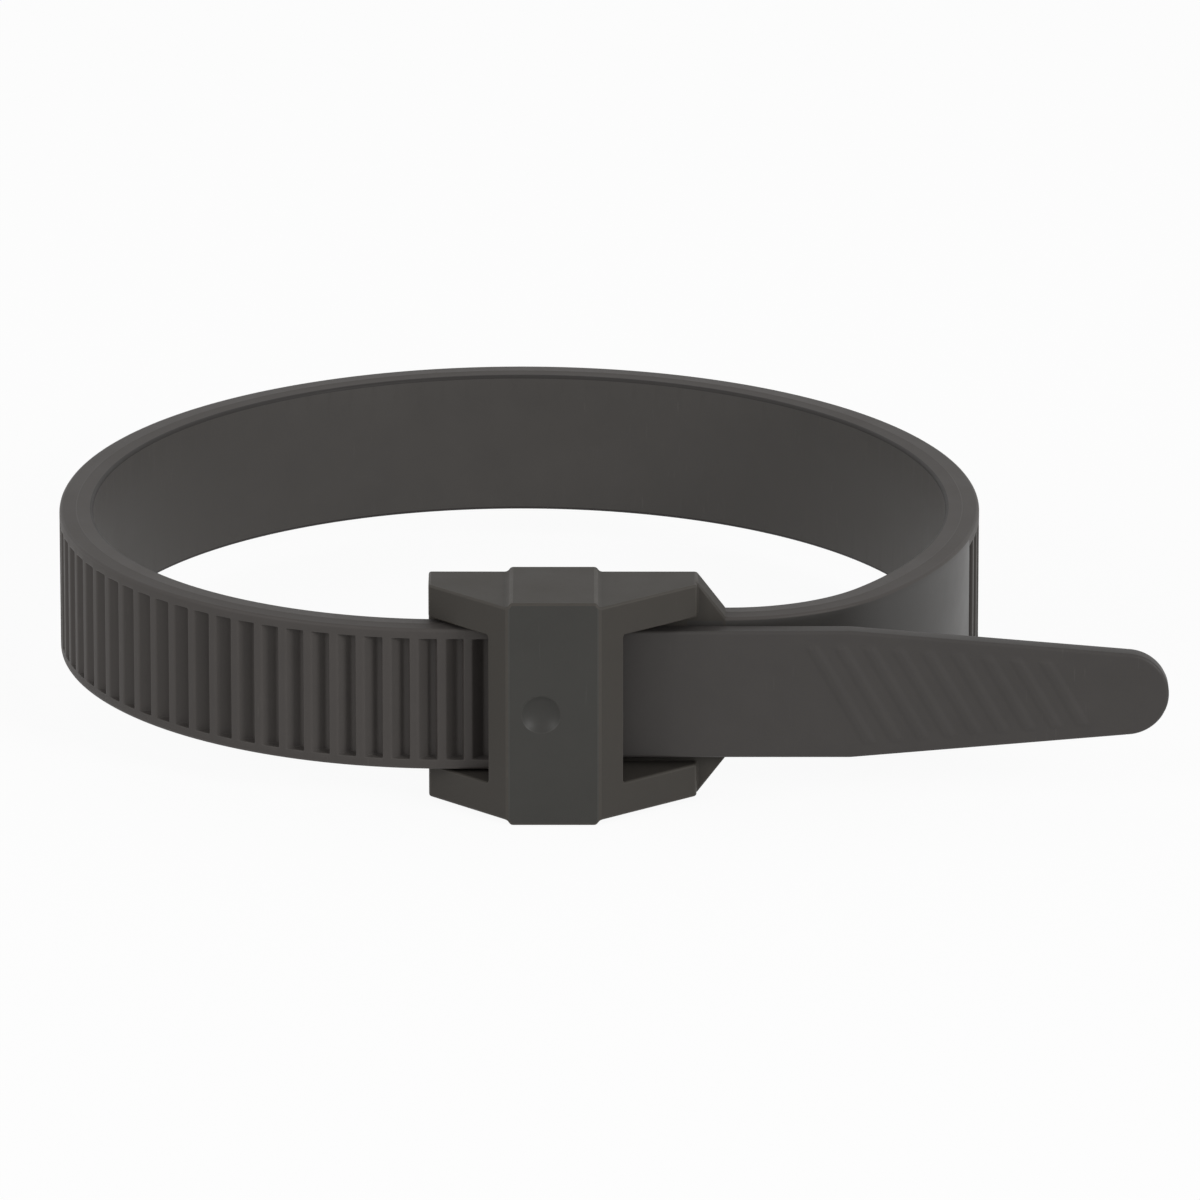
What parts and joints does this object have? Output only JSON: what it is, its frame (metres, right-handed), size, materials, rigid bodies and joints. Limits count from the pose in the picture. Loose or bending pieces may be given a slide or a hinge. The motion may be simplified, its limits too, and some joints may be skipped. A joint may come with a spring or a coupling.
{
  "type": "cable tie",
  "caption": "One-piece in-line cable tie, closed on the first teeth of its outside-serrated strap, with a plain pointed tail.",
  "frame": {"origin": "centre of the loop's free arc, halfway up the strap", "axes": "+Z along the bundle that the loop holds, head on the -Y side, tail pointing along +X"},
  "size_m": [0.0682, 0.0562, 0.0142],
  "materials": {
    "nylon": "moulded, satin"
  },
  "bodies": {
    "root": {"cable_tie": "nylon"}
  },
  "joints": []
}
